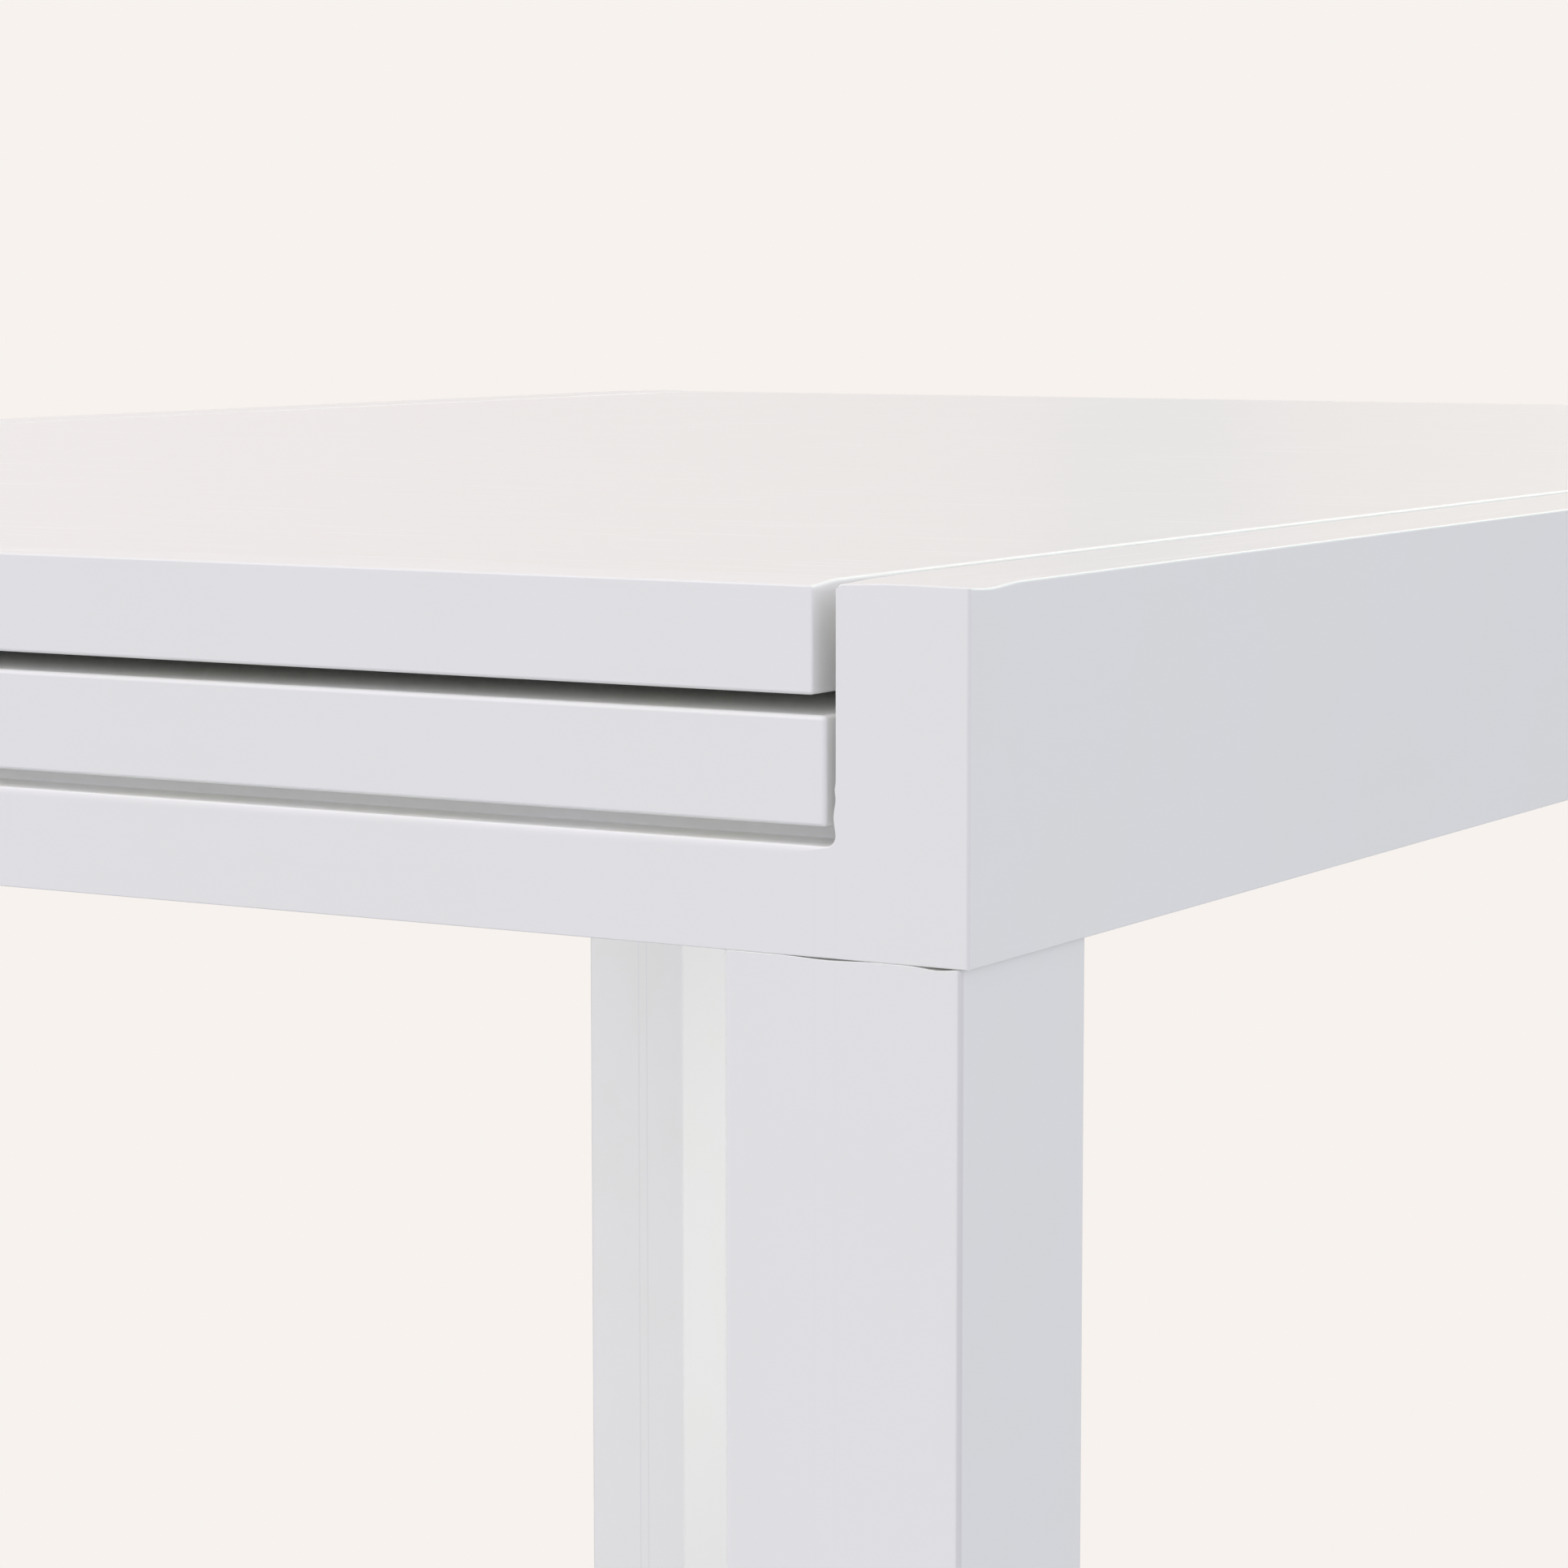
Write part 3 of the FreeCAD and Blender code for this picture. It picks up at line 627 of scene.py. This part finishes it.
def arc(centre, radius, first, last):
    """Points on a round stretch from one angle to another, in degrees."""
    turns = [math.radians(degrees) for degrees in evenly(first, last, EDGE_STEPS + 1)]
    return [(centre[0] + radius * math.cos(turn), centre[1] + radius * math.sin(turn)) for turn in turns]


def cut_at(shape, axis, places):
    """Adds an edge loop at each place along the axis."""
    for place in places:
        everything = shape.verts[:] + shape.edges[:] + shape.faces[:]
        bmesh.ops.bisect_plane(shape, geom=everything, plane_co=AXES[axis] * place, plane_no=AXES[axis])


def near(first, second):
    """True for two lengths that are the same."""
    return abs(first - second) < TINY


def both_at(first, second, axis, place):
    """True if both ends of an edge are at that place along the axis."""
    return near(first[axis], place) and near(second[axis], place)


def runs_along_x(first, second):
    """True if an edge between these ends runs along X."""
    return near(first.y, second.y) and near(first.z, second.z)


def round_arrises(shape, radius):
    """Rounds each sharp edge to the radius that the given function finds for its two ends."""
    weights = shape.edges.layers.float.new("bevel_weight_edge")
    for edge in shape.edges:
        if edge.calc_face_angle(0) > SHARP:
            edge[weights] = radius(edge.verts[0].co, edge.verts[1].co) / WIDEST_EDGE
    mesh = bpy.data.meshes.new("blank")
    shape.to_mesh(mesh)
    blank = bpy.data.objects.new("blank", mesh)
    bpy.context.scene.collection.objects.link(blank)
    bevel = blank.modifiers.new("arrises", "BEVEL")
    bevel.limit_method = "WEIGHT"
    bevel.width = WIDEST_EDGE
    bevel.segments = EDGE_STEPS
    bevel.use_clamp_overlap = False
    rounded = bpy.data.meshes.new_from_object(blank.evaluated_get(bpy.context.evaluated_depsgraph_get()))
    shape.clear()
    shape.from_mesh(rounded)
    bpy.data.objects.remove(blank)
    bpy.data.meshes.remove(mesh)
    bpy.data.meshes.remove(rounded)


def smooth_step(low, high, value):
    """Rises smoothly from 0 at low to 1 at high."""
    part = min(max((value - low) / (high - low), 0.0), 1.0)
    return part * part * (3 - 2 * part)


def hump(place, middle, half):
    """Smooth hump, 1 at the middle and 0 from half away."""
    return 1 - smooth_step(0, half, abs(place - middle))


def evenly(low, high, count):
    """Evenly spaced values from low to high, both ends included."""
    return [low + (high - low) * number / (count - 1) for number in range(count)]


def finish_piece(name, shape, body, nodes, paint):
    """Turns a bmesh into a piece that stands for its CAD nodes."""
    bmesh.ops.recalc_face_normals(shape, faces=shape.faces)
    for face in shape.faces:
        face.smooth = True
    for edge in shape.edges:
        edge.smooth = edge.calc_face_angle(0) < SHARP
    mesh = bpy.data.meshes.new(name)
    shape.to_mesh(mesh)
    shape.free()
    piece = bpy.data.objects.new(name, mesh)
    bpy.context.scene.collection.objects.link(piece)
    mesh.materials.append(paint)
    smooth = piece.modifiers.new("normals", "WEIGHTED_NORMAL")
    smooth.keep_sharp = True
    smooth.weight = FACE_WEIGHT
    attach(piece, body)
    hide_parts(*nodes)


# ---------------------------------------------------------------- boards

def top_panel(paint):
    """Top board: its ends are worn down over the last stretch by sanding."""
    low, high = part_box("top_panel")

    def radius(first, second):
        if both_at(first, second, Z, low.z):
            return UNDER_EDGE
        return PANEL_SIDE_EDGE if runs_along_x(first, second) else PANEL_EDGE

    shape = block(low, high)
    round_arrises(shape, radius)
    steps = evenly(0, TOP_WEAR_REACH, TOP_CUTS + 1)[1:]
    cut_at(shape, X, [low.x + step for step in steps] + [high.x - step for step in steps])
    middle = (low.z + high.z) / 2
    for corner in shape.verts:
        if corner.co.z > middle:
            inward = high.x - abs(corner.co.x)
            corner.co.z -= TOP_WEAR * (1 - smooth_step(0, TOP_WEAR_REACH, inward))
    finish_piece("board_top", shape, "table", ["top_panel"], paint)


def leaf(end, paint):
    """Leaf under one end of the top."""
    node = "leaf_" + end
    low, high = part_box(node)

    def radius(first, second):
        return UNDER_EDGE if both_at(first, second, Z, low.z) else LEAF_EDGE

    shape = block(low, high)
    round_arrises(shape, radius)
    finish_piece("board_" + node, shape, "extension_" + end, [node], paint)


def side_rail(side, paint):
    """Side rail: its long arrises run on into those of the end frames without a break."""
    node = "side_rail_" + side
    low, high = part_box(node)
    outer = low.y if side == "right" else high.y

    def radius(first, second):
        if not runs_along_x(first, second):
            return 0
        if near(first.z, low.z):
            return FRAME_UNDER_EDGE
        return SIDE_TOP_EDGE if near(first.y, outer) else GAP_EDGE

    shape = block(low, high)
    round_arrises(shape, radius)
    finish_piece("board_" + node, shape, "table", [node], paint)


def frame_outline(low, high, notch, sill):
    """Outline of an end frame: a U, its notch round at the mouth and at the bottom corners."""
    lip = NOTCH_LIP
    turn = NOTCH_CORNER
    outline = [(low.y, low.z), (high.y, low.z), (high.y, high.z)]
    outline += arc((notch + lip, high.z - lip), lip, 90, 180)
    outline += arc((notch - turn, sill + turn), turn, 0, -90)
    outline += arc((turn - notch, sill + turn), turn, -90, -180)
    outline += arc((-notch - lip, high.z - lip), lip, 0, 90)
    outline += [(low.y, high.z)]
    return outline


def wear_frame(shape, face, high, notch, sill):
    """Wears the tops of an end frame's arms, and puts lumps of paint on its notch's edges."""
    for corner in shape.verts:
        depth = abs(corner.co.x - face)
        aside = high.y - abs(corner.co.y)
        if corner.co.z > high.z - CORNER_EDGE - TINY:
            inner = 1 - smooth_step(0, ARM_WEAR_REACH, abs(corner.co.y) - notch)
            outer = 1 - smooth_step(0, HOLLOW_WIDTH, aside)
            wear = ARM_WEAR * inner * (1 - smooth_step(0, ARM_WEAR_REACH, depth))
            wear += HOLLOW * outer * hump(depth, HOLLOW_PLACE, HOLLOW_HALF)
            corner.co.z -= wear
        elif abs(abs(corner.co.y) - notch) < NOTCH_EDGE + TINY:
            fade = 1 - smooth_step(0, NOTCH_FAULT_DEPTH, depth)
            for height, half, out in NOTCH_FAULTS:
                shift = out * fade * hump(corner.co.z, sill + height, half)
                corner.co.y -= math.copysign(shift, corner.co.y)


def end_frame(end, paint):
    """U-shaped end frame, with worn arms and a few lumps of paint in the notch."""
    node = "end_frame_" + end
    low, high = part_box(node)
    face, back = (low.x, high.x) if end == "a" else (high.x, low.x)
    notch = -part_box("side_rail_right")[1].y
    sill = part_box("glide_strip_" + end)[0].z

    def radius(first, second):
        if both_at(first, second, X, back):
            return 0
        if both_at(first, second, Z, low.z):
            return FRAME_UNDER_EDGE
        if near(abs(first.y), high.y) and near(abs(second.y), high.y):
            return CORNER_EDGE if near(first.x, second.x) else SIDE_TOP_EDGE
        if both_at(first, second, Z, high.z):
            return ARM_EDGE
        if both_at(first, second, Z, sill):
            return RAIL_TOP_EDGE
        return NOTCH_EDGE

    shape = slab(frame_outline(low, high, notch, sill), face, back)
    round_arrises(shape, radius)

    inward = 1 if end == "a" else -1
    cut_at(shape, X, [face + inward * step for step in evenly(CUT_MARGIN, FRAME_CUT_REACH, FRAME_CUTS)])
    arm_steps = evenly(notch + CUT_MARGIN, high.y - CUT_MARGIN, ARM_CUTS)
    cut_at(shape, Y, arm_steps + [-step for step in arm_steps])
    cut_at(shape, Z, evenly(sill + NOTCH_CUT_START, sill + NOTCH_CUT_REACH, NOTCH_CUTS))
    wear_frame(shape, face, high, notch, sill)
    finish_piece("board_" + node, shape, "table", [node], paint)


def leg(end, side, paint):
    """Square leg. Its head meets the frame closely, but for a few open stretches at its outer side."""
    node = "leg_%s_%s" % (end, side)
    low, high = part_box(node)
    face, inward = (low.x, 1) if end == "a" else (high.x, -1)
    outer = low.y if side == "right" else high.y

    def radius(first, second):
        return LEG_HEAD_EDGE if both_at(first, second, Z, high.z) else LEG_EDGE

    shape = block(low, high)
    round_arrises(shape, radius)
    cut_at(shape, Y, evenly(low.y + CUT_MARGIN, high.y - CUT_MARGIN, LEG_CUTS))
    cut_at(shape, X, [face + inward * step for step in evenly(CUT_MARGIN, SEAM_DEPTH, LEG_DEPTH_CUTS)])
    for corner in shape.verts:
        if corner.co.z > high.z - LEG_HEAD_EDGE - TINY:
            depth = abs(corner.co.x - face)
            aside = abs(corner.co.y - outer)
            fade = 1 - smooth_step(0, SEAM_DEPTH, depth)
            for place, half, gap in SEAM_GAPS:
                corner.co.z -= gap * fade * hump(aside, place, half)
    finish_piece("post_" + node, shape, "table", [node], paint)


aim_camera()
set_world()
low_beam()
lay_floor()

# each lacquer takes the strength of the painted shade on its upright outer arrises
lacquers = [lacquer(X, FRAME_ARRIS_SHADE), lacquer(Y, FRAME_ARRIS_SHADE), lacquer(Z, LEG_ARRIS_SHADE)]
finishes = {"white_lacquer": lacquers[Y]}
for finish in (beech, white_steel, aluminium, zinc_steel, brass, nylon, rubber):
    finishes[finish.__name__] = finish()
for part in frame["record"]["subparts"]:
    mesh = frame["nodes"][part["node"]].data
    mesh.materials.clear()
    mesh.materials.append(finishes[part["material_slot"]])

top_panel(lacquers[Y])
for end in ENDS:
    leaf(end, lacquers[Y])
    end_frame(end, lacquers[Y])
    for side in SIDES:
        leg(end, side, lacquers[Z])
for side in SIDES:
    side_rail(side, lacquers[X])

scene = bpy.context.scene
scene.view_settings.view_transform = "Standard"
scene.view_settings.look = "None"
scene.cycles.max_bounces = LIGHT_BOUNCES
scene.cycles.diffuse_bounces = LIGHT_BOUNCES
